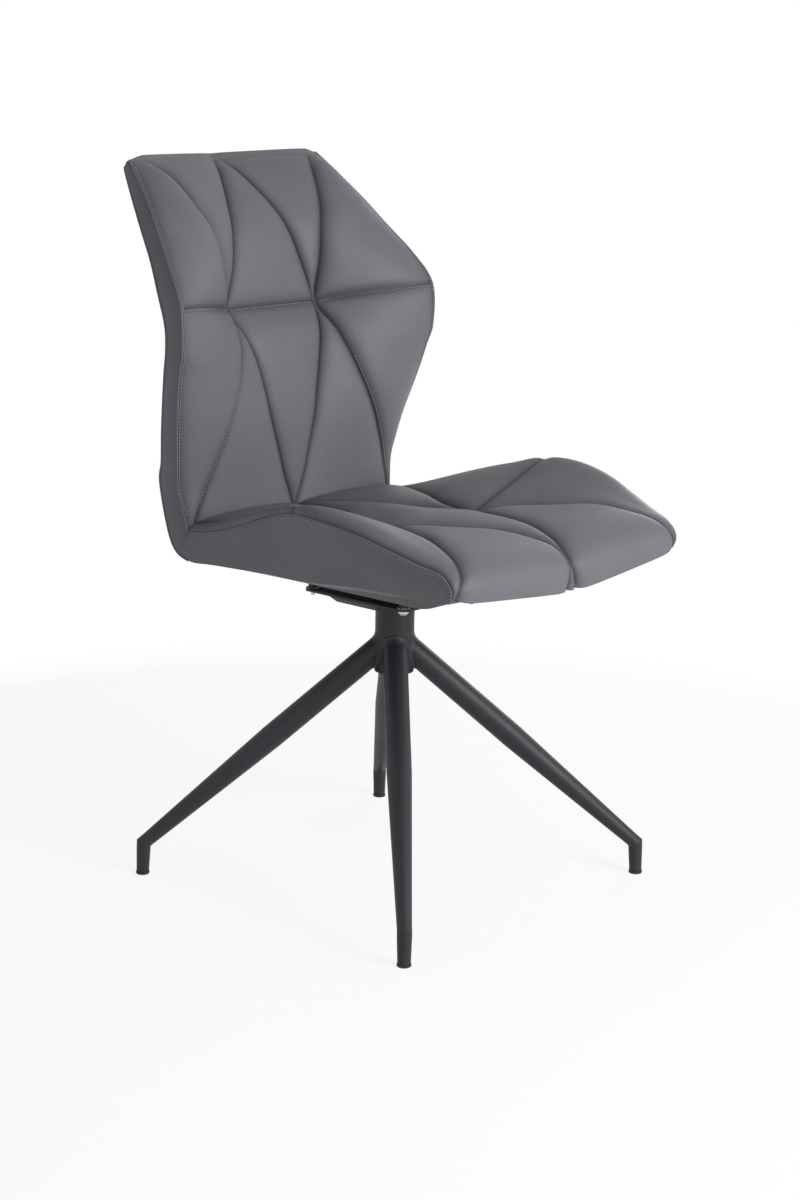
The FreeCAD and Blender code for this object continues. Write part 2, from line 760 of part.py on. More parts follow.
def make_back_pad(hollows):
    sections = [back_crease_section()] + [back_section(z) for z in back_stations()] + [top_section()]
    pad = Part.makeLoft([back_wire(section) for section in sections], True, True)
    for hollow in hollows:
        pad = pad.cut(hollow)
    return pad, sections


def make_back_cover(sections):
    """Rear panel: a thin skin behind the back pad, from the crease plane to the top edge."""
    wires = []
    for index, (edge, outer, inner, hem, flat, rise) in enumerate(sections):
        outward = point(0, 1, -1).normalize() if index == 0 else point(0, 1, 0)
        shift = outward * back_cover_thickness
        tip = outward * back_cover_edge
        near = [hem, flat, mirrored(flat), mirrored(hem)]
        far = [mirrored(hem) + tip, mirrored(flat) + shift, flat + shift, hem + tip]
        wires.append(Part.makePolygon(near + far + near[:1]))
    return Part.makeLoft(wires, True, True)


def make_gusset(seat_sections, back_sections, side):
    """Side strip of cover: from the front corner along the seat and up the back's edge."""
    skin = point(gusset_skin, 0, 0)
    wires = []
    for section in seat_sections[:-1] + back_sections:
        edge = section[0]
        hem = section[4] if len(section) == 7 else section[3]
        corners = [edge, hem, hem + skin, edge + skin]
        if side < 0:
            corners = [mirrored(corner) for corner in corners]
        wires.append(Part.makePolygon(corners + corners[:1]))
    return Part.makeLoft(wires, True, True)


os.makedirs("parts", exist_ok=True)

leg_angles = {"leg_front_left": -45, "leg_rear_left": 45, "leg_rear_right": 135, "leg_front_right": 225}
export("base_column", make_column())
export("column_plug", make_plug())
for leg_node, leg_turn in leg_angles.items():
    export(leg_node, make_leg(leg_turn))
    export(leg_node.replace("leg", "glide"), make_glide(leg_turn))
export("upper_bush", make_upper_bush())
export("lower_bush", make_lower_bush())
export("thrust_washer", make_thrust_washer())

export("swivel_spindle", make_spindle())
export("spindle_washer", make_spindle_washer())
export("retaining_ring", make_retaining_ring())
export("swivel_housing", make_housing())
export("mounting_plate", make_plate())
export("front_bolts", make_front_bolts())
export("rear_studs", make_rear_studs())
export("toothed_washers", make_toothed_washers())
export("spacers", make_spacers())
export("tee_nuts", make_tee_nuts())
export("seat_board", make_board())
export("dust_cover", make_dust_cover())

frame_pieces, foam_channels = make_frame()
for frame_node, frame_piece in frame_pieces.items():
    export(frame_node, frame_piece)
export("frame_screws", make_frame_screws(0.0))

seat_hollows = [board_slab(board_bottom, board_top), make_frame_screws(foam_clearance)] + foam_channels
seat_pad, seat_rows = make_seat_pad(seat_hollows)
back_pad, back_rows = make_back_pad(foam_channels)
export("seat_pad", seat_pad)
export("back_pad", back_pad)
export("back_cover", make_back_cover(back_rows))
export("side_gusset_left", make_gusset(seat_rows, back_rows, 1))
export("side_gusset_right", make_gusset(seat_rows, back_rows, -1))
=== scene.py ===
import math

import bmesh
import bpy
import numpy as np
from mathutils import Matrix, Vector


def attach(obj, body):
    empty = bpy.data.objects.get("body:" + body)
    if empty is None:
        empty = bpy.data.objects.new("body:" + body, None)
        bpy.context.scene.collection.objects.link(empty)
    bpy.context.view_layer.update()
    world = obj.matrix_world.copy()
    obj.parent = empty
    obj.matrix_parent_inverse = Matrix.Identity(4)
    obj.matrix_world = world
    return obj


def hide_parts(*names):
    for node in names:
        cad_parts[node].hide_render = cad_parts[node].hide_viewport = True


# Swivel dining chair: four-leg steel base, swivel, and a shell upholstered in grey coated leather.
# Lengths are written in millimetres, and MM turns them to metres where a mesh is made.
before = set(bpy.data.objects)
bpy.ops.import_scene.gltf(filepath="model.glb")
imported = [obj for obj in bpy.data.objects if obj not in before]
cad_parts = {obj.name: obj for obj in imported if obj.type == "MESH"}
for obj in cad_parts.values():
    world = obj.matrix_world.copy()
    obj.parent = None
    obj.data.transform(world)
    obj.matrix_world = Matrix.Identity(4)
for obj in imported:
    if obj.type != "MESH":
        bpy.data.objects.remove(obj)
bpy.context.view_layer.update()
MM = 0.001


# Base: a 48 mm column tube with four tapered tube legs welded round it, all of mild steel.
# The welded frame is powder-coated satin black, a thick even skin with a fine orange peel.

def linear(hex_colour):
    """An sRGB hex colour as the linear RGBA that shaders take."""
    parts = [int(hex_colour[place:place + 2], 16) / 255 for place in (1, 3, 5)]
    return tuple(part / 12.92 if part <= 0.04045 else ((part + 0.055) / 1.055) ** 2.4
                 for part in parts) + (1.0,)


def add(tree, kind, inputs=None, **settings):
    """A new node with its settings, each input set to a value or linked to an output."""
    node = tree.nodes.new(kind)
    for name, value in settings.items():
        setattr(node, name, value)
    for name, value in (inputs or {}).items():
        if isinstance(value, bpy.types.NodeSocket):
            tree.links.new(value, node.inputs[name])
        else:
            node.inputs[name].default_value = value
    return node


def new_finish(name, metallic=0.0, ior=1.5):
    """An empty material: its node tree, its shader and the object coordinates."""
    material = bpy.data.materials.new(name)
    material.use_nodes = True
    tree = material.node_tree
    shader = tree.nodes["Principled BSDF"]
    shader.inputs["Metallic"].default_value = metallic
    shader.inputs["IOR"].default_value = ior
    return material, tree, shader, add(tree, "ShaderNodeTexCoord").outputs["Object"]


def wear_in(tree, shader, coords, dark, light, patch, rough, smooth):
    """Broad patches between two close colours, with the roughness following them."""
    patches = add(tree, "ShaderNodeTexNoise", {"Vector": coords, "Scale": 1 / (patch * MM),
                                               "Detail": 4.0, "Roughness": 0.6}).outputs["Fac"]
    colour = add(tree, "ShaderNodeMix", {0: patches, 6: linear(dark), 7: linear(light)},
                 data_type="RGBA").outputs[2]
    tree.links.new(colour, shader.inputs["Base Color"])
    polish = add(tree, "ShaderNodeMapRange", {"Value": patches, "From Min": 0.3, "From Max": 0.7,
                                              "To Min": rough, "To Max": smooth})
    tree.links.new(polish.outputs["Result"], shader.inputs["Roughness"])
    return colour


def relief(tree, shader, height, depth, strength=1.0):
    """A bump of a depth in millimetres on the shader's normal."""
    bump = add(tree, "ShaderNodeBump", {"Height": height, "Distance": depth * MM, "Strength": strength})
    tree.links.new(bump.outputs["Normal"], shader.inputs["Normal"])
    return bump


def grain(tree, coords, size, detail=2.0):
    """A noise pattern whose grains are about a size in millimetres."""
    return add(tree, "ShaderNodeTexNoise", {"Vector": coords, "Scale": 1 / (size * MM),
                                            "Detail": detail}).outputs["Fac"]


def satin_black_powder_coat():
    """Baked polyester powder: near black, satin, with 2 mm orange peel and no metal showing."""
    material, tree, shader, coords = new_finish("satin_black_powder_coat")
    wear_in(tree, shader, coords, "#1f1f24", "#26262c", 60.0, 0.56, 0.48)
    shader.inputs["Specular IOR Level"].default_value = 0.35
    relief(tree, shader, grain(tree, coords, 2.0), 0.05)
    return material


def dress(material, *names):
    """Gives CAD nodes a finish in all their material slots."""
    for name in names:
        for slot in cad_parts[name].material_slots:
            slot.material = material


def closed_mesh(name, vertices, faces, material, body):
    """A mesh object from millimetre vertices and faces, smooth, facing outwards."""
    mesh = bpy.data.meshes.new(name)
    mesh.from_pydata((np.asarray(vertices).reshape(-1, 3) * MM).tolist(), [], faces)
    mesh.materials.append(material)
    shape = bmesh.new()
    shape.from_mesh(mesh)
    bmesh.ops.recalc_face_normals(shape, faces=shape.faces)
    shape.to_mesh(mesh)
    shape.free()
    mesh.shade_smooth()
    piece = bpy.data.objects.new(name, mesh)
    bpy.context.scene.collection.objects.link(piece)
    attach(piece, body)
    return piece


def loop_faces(rows, columns, first=0, joined=False):
    """Quads between neighbouring closed rows of points; the last row meets the first if joined."""
    across = np.arange(columns)
    after = (across + 1) % columns
    here = np.arange(rows if joined else rows - 1)[:, None]
    there = (here + 1) % rows
    quads = np.stack([here * columns + across, here * columns + after,
                      there * columns + after, there * columns + across], axis=-1)
    return (quads.reshape(-1, 4) + first).tolist()


def unit(vectors):
    """Each vector over its own length."""
    return vectors / np.maximum(np.linalg.norm(vectors, axis=-1, keepdims=True), 1e-9)


powder_coat = satin_black_powder_coat()
dress(powder_coat, "base_column", "leg_front_left", "leg_front_right", "leg_rear_left",
      "leg_rear_right")

# Weld fillets: one run of weld round each leg where it meets the column, ground and coated over.
# The fillet is a hollow band that runs out on both tubes, with a faint ripple left by the weld.
COLUMN_RADIUS, LEG_RADIUS, LEG_SLOPE, LEG_AXIS_TOP = 24.0, 15.0, math.radians(41.1), 308.6
FILLET_REACH, RIPPLE_LENGTH, RIPPLE_SHARE = 5.5, 3.4, 0.05
FILLET_STEPS, FILLET_SIDES, FILLET_ROOT = 200, 9, 0.8
LEGS = 4


def turned(points, angle):
    """Points turned about the upright axis."""
    x, y, z = np.moveaxis(points, -1, 0)
    return np.stack([x * math.cos(angle) - y * math.sin(angle),
                     x * math.sin(angle) + y * math.cos(angle), z], axis=-1)


def weld_fillet():
    """Closed rings of the band round one leg that points along x.

    Round the leg by an angle p, the joint's y is the leg's radius times sin p, its x comes
    from the column's circle, and its z from how far down the leg's axis that x is. The band
    is the curve from a point on the column to one on the leg, pulled in to the joint, whose
    weights are the squares and the double product of the share and its rest."""
    p = np.linspace(0, 2 * np.pi, FILLET_STEPS, endpoint=False)
    y = LEG_RADIUS * np.sin(p)
    x = np.sqrt(COLUMN_RADIUS ** 2 - y ** 2)
    down = (x - LEG_RADIUS * np.cos(p) * math.sin(LEG_SLOPE)) / math.cos(LEG_SLOPE)
    z = LEG_AXIS_TOP - down * math.sin(LEG_SLOPE) + LEG_RADIUS * np.cos(p) * math.cos(LEG_SLOPE)
    joint = np.stack([x, y, z], axis=1)
    steps = np.roll(joint, -1, axis=0) - np.roll(joint, 1, axis=0)
    away = unit(np.cross(steps, joint * [1, 1, 0]))
    away *= np.sign(np.sum(away * (joint - joint.mean(axis=0)), axis=1, keepdims=True))
    travelled = np.cumsum(np.linalg.norm(steps, axis=1) / 2)
    ripples = round(travelled[-1] / RIPPLE_LENGTH)
    ripple = RIPPLE_SHARE * np.sin(2 * np.pi * ripples * travelled / travelled[-1])
    reach = FILLET_REACH * (1 + ripple)[:, None]
    on_column = joint + away * reach
    clear_of_column = COLUMN_RADIUS + 0.05
    on_column[:, :2] *= clear_of_column / np.linalg.norm(on_column[:, :2], axis=1, keepdims=True)
    on_leg = joint + np.array([math.cos(LEG_SLOPE), 0, -math.sin(LEG_SLOPE)]) * reach
    share = np.linspace(0, 1, FILLET_SIDES)[:, None, None]
    band = (1 - share) ** 2 * on_column + 2 * share * (1 - share) * joint + share ** 2 * on_leg
    inside = joint - unit(joint * [1, 1, 0]) * FILLET_ROOT
    return np.concatenate([np.swapaxes(band, 0, 1), inside[:, None]], axis=1)


fillet = weld_fillet()
fillets = [turned(fillet, math.radians(45 + 90 * leg)) for leg in range(LEGS)]
fillet_faces = [face for leg in range(LEGS)
                for face in loop_faces(*fillet.shape[:2], leg * fillet[..., 0].size, joined=True)]
closed_mesh("leg_weld_fillets", np.concatenate(fillets), fillet_faces, powder_coat, "base")

# Glides and plug: black polypropylene, moulded and slightly matt, pressed into the open tube ends.


def black_polypropylene():
    """Moulded plastic: soft black with a fine spark texture."""
    material, tree, shader, coords = new_finish("black_polypropylene", ior=1.49)
    wear_in(tree, shader, coords, "#161617", "#1d1d1f", 15.0, 0.6, 0.5)
    relief(tree, shader, grain(tree, coords, 0.8), 0.03)
    return material


polypropylene = black_polypropylene()
dress(polypropylene, "glide_front_left", "glide_front_right", "glide_rear_left", "glide_rear_right",
      "column_plug", "spacers")

# Swivel: nylon bushes pressed in the column, in which a turned steel spindle runs.
# The spindle, its washers and the spring ring are bright turned or stamped steel.


def cast_nylon():
    """Cream nylon 6, turned, waxy and a little translucent at its rims."""
    material, tree, shader, coords = new_finish("cast_nylon", ior=1.53)
    wear_in(tree, shader, coords, "#ded8c6", "#e8e3d4", 10.0, 0.5, 0.4)
    relief(tree, shader, grain(tree, coords, 1.0), 0.02)
    return material


def turned_steel():
    """Bright mild steel with fine rings left by the lathe, oiled."""
    material, tree, shader, coords = new_finish("turned_steel", metallic=1.0)
    wear_in(tree, shader, coords, "#8d8f92", "#a3a5a8", 20.0, 0.38, 0.26)
    rings = add(tree, "ShaderNodeTexWave", {"Vector": coords, "Scale": 1 / (1.5 * MM),
                                            "Distortion": 0.5}, bands_direction="Z").outputs["Fac"]
    relief(tree, shader, rings, 0.02)
    return material


dress(cast_nylon(), "upper_bush", "lower_bush")
dress(turned_steel(), "swivel_spindle", "spindle_washer", "retaining_ring", "thrust_washer")

# Housing and mounting plate: pressed pan and laser-cut plate, welded and coated like the base.

dress(powder_coat, "swivel_housing", "mounting_plate")

# Fasteners: bright zinc-plated steel screws, studs, toothed washers and tee nuts.


def bright_zinc_plate():
    """Electroplated zinc: pale, bluish and cloudy, brighter on the rubbed corners."""
    material, tree, shader, coords = new_finish("bright_zinc_plate", metallic=1.0)
    wear_in(tree, shader, coords, "#a7abb0", "#c6cacf", 5.0, 0.42, 0.25)
    relief(tree, shader, grain(tree, coords, 1.2), 0.02)
    return material


dress(bright_zinc_plate(), "front_bolts", "rear_studs", "toothed_washers", "tee_nuts", "frame_screws")

# Seat board, lining and inner frame: birch plywood, a stapled black non-woven, and bare tube.


def birch_plywood():
    """Rotary-cut birch: pale, with long soft grain across the board and thin glued layers."""
    material, tree, shader, coords = new_finish("birch_plywood")
    stretched = add(tree, "ShaderNodeMapping", {"Vector": coords,
                                                "Scale": (1.0, 12.0, 90.0)}).outputs["Vector"]
    veins = add(tree, "ShaderNodeTexNoise", {"Vector": stretched, "Scale": 14.0,
                                             "Detail": 5.0}).outputs["Fac"]
    colour = add(tree, "ShaderNodeMix", {0: veins, 6: linear("#b8905c"), 7: linear("#e0c08e")},
                 data_type="RGBA").outputs[2]
    tree.links.new(colour, shader.inputs["Base Color"])
    shader.inputs["Roughness"].default_value = 0.6
    relief(tree, shader, veins, 0.1)
    return material


def black_non_woven():
    """Spun-bonded lining: flat black fibres pressed together, with a faint dimpled grid."""
    material, tree, shader, coords = new_finish("black_non_woven")
    wear_in(tree, shader, coords, "#131314", "#1c1c1d", 2.0, 0.95, 0.85)
    dimples = add(tree, "ShaderNodeTexVoronoi", {"Vector": coords,
                                                 "Scale": 1 / (2.5 * MM)}).outputs["Distance"]
    relief(tree, shader, dimples, 0.25)
    shader.inputs["Sheen Weight"].default_value = 0.15
    return material


def drawn_tube_steel():
    """Cold-drawn tube: grey mill finish, dull, with long faint die lines."""
    material, tree, shader, coords = new_finish("drawn_tube_steel", metallic=1.0)
    wear_in(tree, shader, coords, "#6c6e70", "#838587", 40.0, 0.5, 0.38)
    relief(tree, shader, grain(tree, coords, 1.5, 6.0), 0.03)
    return material


dress(birch_plywood(), "seat_board")
lining = black_non_woven()
dress(lining, "dust_cover")
dress(drawn_tube_steel(), "frame_rail_left", "frame_rail_right", "front_cross_rail",
      "lumbar_cross_rail", "top_cross_rail")

# Seat cushion: moulded foam under a cover of grey coated leather, sewn from wedge panels whose
# seams meet in two nodes and are drawn down into the foam. The side panels roll over a bolster
# to the side seam, the front ones over the lip, and the cover is turned under to the board.


def coated_leather(name, dark, light):
    """Polyurethane-coated leather: matt-satin, lightly pebbled, with painted shade down in the seams.

    Pebbles of 1.4 mm are drawn at 2 mm so that they show. The seam attribute is 1 on a seam
    and fades away from it within a few millimetres; the colour goes towards near black by it,
    which is painted shade in the seam grooves."""
    material, tree, shader, coords = new_finish(name)
    colour = wear_in(tree, shader, coords, dark, light, 90.0, 0.6, 0.52)
    shader.inputs["Specular IOR Level"].default_value = 0.3
    # Painted shade: the colour is mixed towards near black by 0.85 of the seam attribute.
    seam = add(tree, "ShaderNodeAttribute", attribute_name="seam").outputs["Fac"]
    share = add(tree, "ShaderNodeMath", {0: seam, 1: 0.85}, operation="MULTIPLY").outputs[0]
    sewn = add(tree, "ShaderNodeMix", {0: share, 6: colour, 7: linear("#232326")},
               data_type="RGBA").outputs[2]
    mottle = grain(tree, coords, 6.0, 3.0)
    spotted = add(tree, "ShaderNodeMix", {0: 0.06, 6: sewn, 7: mottle}, data_type="RGBA",
                  blend_type="OVERLAY").outputs[2]
    tree.links.new(spotted, shader.inputs["Base Color"])
    pebbles = add(tree, "ShaderNodeTexVoronoi", {"Vector": coords, "Scale": 1 / (2.0 * MM)},
                  feature="SMOOTH_F1").outputs["Distance"]
    fine = relief(tree, shader, pebbles, 0.12, 0.5)
    slack = relief(tree, shader, grain(tree, coords, 28.0, 3.0), 0.7, 0.6)
    tree.links.new(slack.outputs["Normal"], fine.inputs["Normal"])
    tree.links.new(fine.outputs["Normal"], shader.inputs["Normal"])
    return material


leather = coated_leather("grey_coated_leather", "#5b5c61", "#64656a")


def follow(places, at):
    """A smooth curve through the first axis of an array of places, read at fractional numbers.

    Between two places it is the cubic whose slope at each is half the step from the place
    before to the place after; past the ends the last step is repeated."""
    ends = [2 * places[:1] - places[1:2], places, 2 * places[-1:] - places[-2:-1]]
    places = np.concatenate(ends)
    left = np.clip(at.astype(int), 0, len(places) - 4)
    t = (at - left).reshape((-1,) + (1,) * (places.ndim - 1))
    a, b, c, d = (places[left + step] for step in range(4))
    return b + t * ((c - a) / 2 + t * (a - 2.5 * b + 2 * c - d / 2 + t * (1.5 * (b - c) + (d - a) / 2)))


FULL_CROWN_SPAN = 90.0


def run_across(places, count, fullness=0.0, crown=0.0, start_width=7.0, end_width=7.0):
    """One panel's points across each row, from its first seam to just before its last.

    Points crowd towards both seams by a cosine. The panel stands above its seams by
    its fullness times one less a falling exponential of the distance from each seam,
    which makes soft V grooves, and by a low arch, a sine, of the crown, which is less
    where the panel is narrower than its full span."""
    share = (1 - np.cos(np.pi * np.arange(count) / count)) / 2
    points = np.swapaxes(follow(np.swapaxes(places, 0, 1), share * (places.shape[1] - 1)), 0, 1)
    from_start = np.linalg.norm(points - places[:, :1], axis=2)
    from_end = np.linalg.norm(points - places[:, -1:], axis=2)
    wide = np.linalg.norm(places[:, -1:] - places[:, :1], axis=2)
    rises = (1 - np.exp(-from_start / start_width)) * (1 - np.exp(-from_end / end_width))
    height = fullness * rises + crown * np.sin(np.pi * share) * np.minimum(1.0, wide / FULL_CROWN_SPAN)
    return points, height, np.minimum(from_start, from_end)


def outward(points, towards):
    """The surface's normals: across steps crossed with along steps, turned towards a side."""
    normal = unit(np.cross(np.gradient(points, axis=1), np.gradient(points, axis=0)))
    return normal * np.sign(np.sum(normal * towards, axis=-1).mean())


def along_from(points, row):
    """How far each point is, along its own column, from the point in one row."""
    steps = np.linalg.norm(np.diff(points, axis=0), axis=2)
    travelled = np.concatenate([np.zeros((1, points.shape[1])), np.cumsum(steps, axis=0)])
    return np.abs(travelled - travelled[row])


SWELL_CAP, CLOTH_FRAMES, EVENING_ROUNDS = 4.0, 20, 2


def inflate(piece, loops, pinned):
    """Cloth simulation of the sewn cover: pinned at its seams and blown up a little from inside.

    Returns the rows of points after it. How far each has moved is capped, and evened out with
    its four neighbours, of which it counts double."""
    held = piece.vertex_groups.new(name="sewn_down")
    held.add(np.flatnonzero(pinned.ravel()).tolist(), 1.0, "REPLACE")
    cover = piece.modifiers.new("cover", "CLOTH")
    cover.settings.vertex_group_mass = held.name
    cover.settings.use_pressure = True
    cover.settings.uniform_pressure_force = 4.0
    cover.settings.mass = 0.35
    cover.settings.bending_stiffness = 6.0
    cover.settings.effector_weights.gravity = 0.0
    scene = bpy.context.scene
    for step in range(1, CLOTH_FRAMES + 1):
        scene.frame_set(step)
    blown = piece.evaluated_get(bpy.context.evaluated_depsgraph_get()).to_mesh()
    after = np.empty(len(blown.vertices) * 3)
    blown.vertices.foreach_get("co", after)
    piece.modifiers.remove(cover)
    piece.vertex_groups.remove(held)
    scene.frame_set(1)
    moved = after.reshape(loops.shape) / MM - loops
    length = np.linalg.norm(moved, axis=2, keepdims=True)
    moved *= np.minimum(1.0, SWELL_CAP / np.maximum(length, 1e-6))
    for _ in range(EVENING_ROUNDS):
        padded = np.pad(moved, ((1, 1), (0, 0), (0, 0)), mode="edge")
        beside_it = np.roll(moved, 1, axis=1) + np.roll(moved, -1, axis=1)
        moved = (2 * moved + padded[2:] + padded[:-2] + beside_it) / 6
    moved[pinned] = 0.0
    loops = loops + moved
    piece.data.vertices.foreach_set("co", (loops * MM).ravel())
    return loops


def capped_faces(rows, columns):
    """Quads between neighbouring closed rows, and one flat cap over each end row."""
    caps = [list(range(columns)), list(range((rows - 1) * columns, rows * columns))]
    return loop_faces(rows, columns) + caps


SEAM_SHADE_WIDTH, PINNED_WIDTH, FAR_FROM_SEAMS, FILL, RIM_SHARE = 4.2, 4.0, 50.0, 0.8, 0.06


def cushion(name, front, near_seam, behind, replaced):
    """A closed cushion from the sewn front and the cover behind it, inflated and smoothed.

    The cover is pinned near its seams and all over behind. Both ends get a cap inside a rim,
    which is the end row drawn a little towards its middle, so that the smoothing rounds the
    end row evenly. The seam attribute, which carries the painted shade in the seams, falls off
    exponentially with the distance from a seam."""
    loops = np.concatenate([front, behind], axis=1)
    near_seam = np.concatenate([near_seam, np.full(behind.shape[:2], FAR_FROM_SEAMS)], axis=1)
    pinned = near_seam < PINNED_WIDTH
    pinned[:, front.shape[1]:] = True
    pinned[[0, -1]] = True
    ends = loops[[0, -1]]
    rims = ends + RIM_SHARE * (ends.mean(axis=1, keepdims=True) - ends)
    loops = np.concatenate([rims[:1], loops, rims[1:]])
    near_seam, pinned = (np.pad(field, ((1, 1), (0, 0)), mode="edge") for field in (near_seam, pinned))
    piece = closed_mesh(name, loops, capped_faces(*loops.shape[:2]), leather, "seat")
    # The seam attribute drives the painted shade in the seams.
    painted_seam_shade = piece.data.attributes.new("seam", "FLOAT", "POINT")
    painted_seam_shade.data.foreach_set("value", np.exp(-near_seam / SEAM_SHADE_WIDTH).ravel())
    loops = inflate(piece, loops, pinned)
    finer = piece.modifiers.new("finer", "SUBSURF")
    finer.levels = finer.render_levels = 1
    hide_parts(replaced)
    return loops[1:-1]


ROWS_PER_STEP = 8


def fine_rows(net, first=0):
    """The smooth curves through a net's rows, with even steps from its first row to its last."""
    last = len(net) - 1
    return follow(net, np.linspace(first, last, (last - first) * ROWS_PER_STEP + 1))


# Right half of the seat, from the crease forward and down over the lip, each place as x, y, z:
# inner seam, outer seam, bolster crest and side seam, and then the side hem and the underside.
seat_sewn_net = np.array([
    [(2, 184, 436), (170, 184, 436), (174, 184, 434), (178, 184, 430)],
    [(2, 174, 443), (172, 174, 443), (176, 171, 442), (180, 172, 436)],
    [(14, 130, 449), (160, 130, 451), (180, 130, 448), (186, 129, 442)],
    [(36, 60, 455), (121, 60, 457), (193, 55, 473), (200, 60, 463)],
    [(54, 25, 455), (101, 25, 458), (202, 20, 484), (208, 24, 477)],
    [(66, -10, 455), (82.5, -10, 459), (211, -14, 493), (218, -12, 489)],
    [(74, -60.6, 459), (77, -60.6, 459), (219, -48, 503), (229, -50, 497)],
    [(57, -102, 463), (107, -102, 466), (219, -100, 504), (234, -98, 496)],
    [(41, -150, 466), (131, -150, 471), (214, -150, 495), (231, -148, 488)],
    [(25, -190, 467), (153, -190, 475), (206, -192, 480), (223, -188, 476)],
    [(12, -227, 462), (169, -227, 470), (200, -228, 467), (214, -225, 464)],
    [(4, -249, 455), (181, -251, 463), (198, -251, 459), (208, -250, 457)],
    [(1.5, -265, 442), (190, -265, 452), (199, -264, 450), (206, -262, 446)],
    [(4, -269.5, 428), (197, -268, 441), (202, -267, 440), (205, -265, 437)],
    [(8, -268, 411), (200, -265, 430), (202.5, -264, 429), (204, -262, 428)],
], dtype=float)
seat_hem_net = np.array([
    [(179, 184, 404), (104, 184, 394)],
    [(180, 176, 400), (104, 176, 384)],
    [(182, 130, 402), (104, 130, 380.6)],
    [(185, 60, 406), (104, 60, 380.6)],
    [(189, 24, 409), (104, 24, 380.6)],
    [(192, -10, 410), (104, -10, 380.6)],
    [(194, -50, 412), (104, -50, 380.6)],
    [(195, -100, 417), (104, -100, 380.6)],
    [(197, -150, 420), (104, -141, 382)],
    [(200, -190, 422), (104, -172, 397)],
    [(200, -227, 424), (98, -210, 409)],
    [(201, -244, 425), (100, -236, 415)],
    [(202, -254, 425), (100, -249, 419)],
    [(203, -259, 425), (100, -257, 421)],
    [(203.5, -261, 426), (100, -263, 422)],
], dtype=float)
seat_net = np.concatenate([seat_sewn_net, seat_hem_net], axis=1)
SEAT_NODE = 6 * ROWS_PER_STEP
seat_rows = fine_rows(seat_net)

MIDDLE_COLUMNS, CENTRE_COLUMNS, BOLSTER_COLUMNS = 20, 22, 24
WEDGE_FULLNESS, MIDDLE_CROWN, CENTRE_CROWN = 6.5, 1.0, 2.0
flip = np.array([-1, 1, 1])


def sewn_surface(inner, side, columns, fullness, crown, seam_width, edge_width):
    """The sewn front: a side panel, a middle wedge, the centre wedge, and the same mirrored.

    The side panel's places run from the outer seam to the stitched edge."""
    outer, edge = side[:, 0], side[:, -1:]
    runs = [run_across(side[:, ::-1] * flip, columns, fullness, crown, edge_width, seam_width),
            run_across(np.stack([outer, inner], axis=1) * flip, MIDDLE_COLUMNS, WEDGE_FULLNESS,
                       MIDDLE_CROWN),
            run_across(np.stack([inner * flip, inner], axis=1), CENTRE_COLUMNS, WEDGE_FULLNESS,
                       CENTRE_CROWN),
            run_across(np.stack([inner, outer], axis=1), MIDDLE_COLUMNS, WEDGE_FULLNESS,
                       MIDDLE_CROWN),
            run_across(side, columns, fullness, crown, seam_width, edge_width)]
    last = edge, np.zeros(edge.shape[:2]), np.zeros(edge.shape[:2])
    return [np.concatenate(parts, axis=1) for parts in zip(*runs, last)]


def plain_run(places, count):
    """One panel's points across each row, flat between its places, as run_across spaces them."""
    points, _, _ = run_across(places, count)
    return points


def cover_behind(edge, hem, flat, hem_columns, fold_columns, middle_columns):
    """The cover behind the stitched edges: to the hem, in to the flat, over, and back out."""
    runs = [([edge, hem], hem_columns), ([hem, flat], fold_columns),
            ([flat, flat * flip], middle_columns),
            ([flat * flip, hem * flip], fold_columns), ([hem * flip, edge * flip], hem_columns)]
    points = [plain_run(np.stack(pair, axis=1), count) for pair, count in runs]
    return np.concatenate(points, axis=1)[:, 1:]


outer, crest = seat_rows[:, 1], seat_rows[:, 2]
bolster = np.stack([outer, (outer + crest) / 2, crest, seat_rows[:, 3]], axis=1)
seat_top, seat_height, seat_near = sewn_surface(
    seat_rows[:, 0], bolster, BOLSTER_COLUMNS, fullness=5.5, crown=0.0, seam_width=8.0, edge_width=2.0)
seat_across = along_from(seat_top, SEAT_NODE)
SEAT_OUTER = BOLSTER_COLUMNS, BOLSTER_COLUMNS + 2 * MIDDLE_COLUMNS + CENTRE_COLUMNS
bolster_columns = np.r_[0:SEAT_OUTER[0], SEAT_OUTER[1]:seat_top.shape[1]]
# A cross seam runs out over each bolster from the node.
CROSS_SHARE, CROSS_WIDTH = 0.9, 7.0
seat_height[:, bolster_columns] *= 1 - CROSS_SHARE * np.exp(
    -seat_across[:, bolster_columns] / CROSS_WIDTH)
seat_near[:, bolster_columns] = np.minimum(seat_near, seat_across)[:, bolster_columns]
seat_top = seat_top + outward(seat_top, (0, 0, 1)) * seat_height[..., None]
# The wedges sag below the ends of their seams along the front hem.
HEM_SAG, HEM_STEPS = 2.2, 2
from_hem_start = np.arange(len(seat_top)) / ROWS_PER_STEP - (len(seat_net) - 1 - HEM_STEPS)
near_hem = np.clip(from_hem_start, 0, HEM_STEPS)[:, None] / HEM_STEPS
wedge_columns = np.arange(SEAT_OUTER[0], SEAT_OUTER[1] + 1)
wedge_rise = np.minimum(1, seat_height[:, wedge_columns] / WEDGE_FULLNESS)
seat_top[:, wedge_columns, 2] -= HEM_SAG * near_hem ** 2 * wedge_rise

# The cover behind lies inside the gusset and the rear panel.
INSET = 1.6
SEAT_HEM_COLUMNS, SEAT_FOLD_COLUMNS = 8, 6
seat_under = cover_behind(seat_rows[:, 3], seat_rows[:, 4] - [INSET, 0, 0], seat_rows[:, 5],
                          SEAT_HEM_COLUMNS, SEAT_FOLD_COLUMNS, middle_columns=8)
seat_loops = cushion("seat_cushion", seat_top, seat_near, seat_under, "seat_pad")

